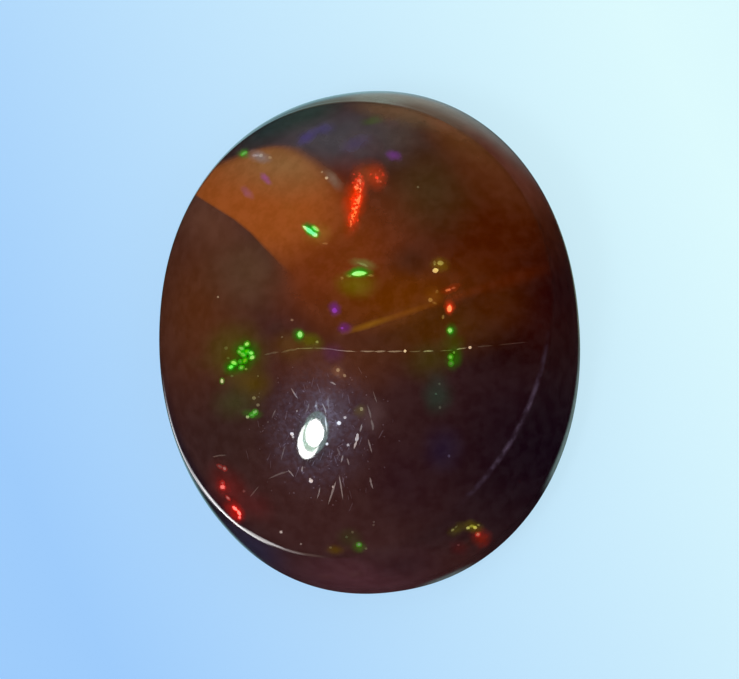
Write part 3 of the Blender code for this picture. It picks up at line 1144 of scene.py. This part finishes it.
def make_lamp_disc(index, pixel, halves, turn, colour, radiance):
    """A bright disc that shows in the polish alone."""
    place, normal = seen_on_stone(pixel)
    away = mirrored(place, normal)
    middle = place + away * (LAMP_DISTANCE - index * LAMP_STEP)
    across, up = facing_axes(away)
    lean, tilt = math.cos(math.radians(turn)), math.sin(math.radians(turn))
    points = []
    for angle in angles(DISC_STEPS):
        x, y = halves[0] * math.cos(angle), halves[1] * math.sin(angle)
        out = across * (x * lean - y * tilt) + up * (x * tilt + y * lean)
        points.append(middle + out * LAMP_SIZE_OF_PIXEL)
    disc = make_object(f"lamp_disc_{index}", points, [tuple(range(DISC_STEPS))])
    disc.data.materials.append(glowing_material(f"lamp_{index}", colour, radiance))
    disc.visible_camera = False
    disc.visible_diffuse = False
    disc.visible_transmission = False
    disc.visible_shadow = False


SOFT_COUNT = 6
SOFT_OUT = 0.35  # distance from the stone's axis
SOFT_HEIGHT = 0.45
SOFT_SIZE = 0.35
SOFT_RADIANCE = 1.6
KEY_SIZE = 0.06
KEY_RADIANCE = 14.0


def make_lights():
    for index, row in enumerate(LAMP_DISCS):
        make_lamp_disc(index, *row)
    key_place = mirrored(*seen_on_stone(LAMP_DISCS[-1][0])) * LAMP_DISTANCE
    make_area_light("key", key_place, KEY_SIZE, KEY_RADIANCE)
    for index, angle in enumerate(angles(SOFT_COUNT)):
        place = Vector((math.cos(angle) * SOFT_OUT, math.sin(angle) * SOFT_OUT, SOFT_HEIGHT))
        make_area_light(f"soft_{index}", place, SOFT_SIZE, SOFT_RADIANCE)


# What the polish mirrors besides the lamp: soft round patches of light, each placed by where it shows.
# Part of the stone, pixel, inner and outer radius (degrees), radiance
DARK_ROOM = (0.01, 0.01, 0.012)
RINGS = {"ridge": PROFILE[1][EASE_STEPS // 2 - 1], "foot": PROFILE[3][0]}  # shoulder, and end of the band
MIRRORED_LIGHTS = (
    ("face", (326, 418), 0, 10, (0.60, 0.64, 0.9)),
    ("face", (318, 430), 0, 24, (0.22, 0.24, 0.40)),
    ("foot", (345, 91), 0, 20, (0.18, 0.36, 0.40)),
    ("foot", (380, 90), 0, 20, (0.14, 0.22, 0.26)),
    ("foot", (435, 100), 0, 18, (0.06, 0.12, 0.14)),
    ("face", (395, 101), 0, 18, (0.16, 0.13, 0.09)),
    ("face", (350, 101), 0, 14, (0.13, 0.11, 0.07)),
    ("ridge", (178, 445), 2, 11, (1.9, 2.0, 2.2)),
    ("ridge", (188, 468), 4, 12, (3.0, 3.0, 3.2)),
    ("ridge", (204, 496), 4, 12, (4.0, 3.9, 4.1)),
    ("ridge", (221, 513), 5, 13, (7.0, 7.0, 7.2)),
    ("ridge", (240, 528), 5, 12, (8.0, 8.0, 8.0)),
    ("ridge", (262, 540), 3, 11, (7.0, 6.9, 6.9)),
    ("ridge", (284, 548), 2, 10, (2.4, 2.2, 2.2)),
    ("ridge", (302, 551), 0, 9, (0.8, 0.6, 0.5)),
)


def make_world():
    world = bpy.data.worlds.new("studio")
    world.use_nodes = True
    tree = world.node_tree
    place = add_node(tree, "TexCoord", (), "Generated")
    total = DARK_ROOM
    for part, pixel, inner, outer, radiance in MIRRORED_LIGHTS:
        spot = ring_seen_near(RINGS[part], pixel) if part in RINGS else seen_on_stone(pixel)
        facing = dot_product(tree, place, mirrored(*spot))
        span = [math.cos(math.radians(radius)) for radius in (outer, inner)]
        fade = add_node(tree, "MapRange", (facing, *span), interpolation_type="SMOOTHSTEP")
        total = add_node(tree, "VectorMath", (fade, radiance, total), operation="MULTIPLY_ADD")
    set_inputs(tree, tree.nodes["Background"], {"Color": total})
    bpy.context.scene.world = world


make_camera()
make_stone()
make_flecks()
make_floor()
make_lights()
make_world()
bpy.context.scene.view_settings.view_transform = "Standard"
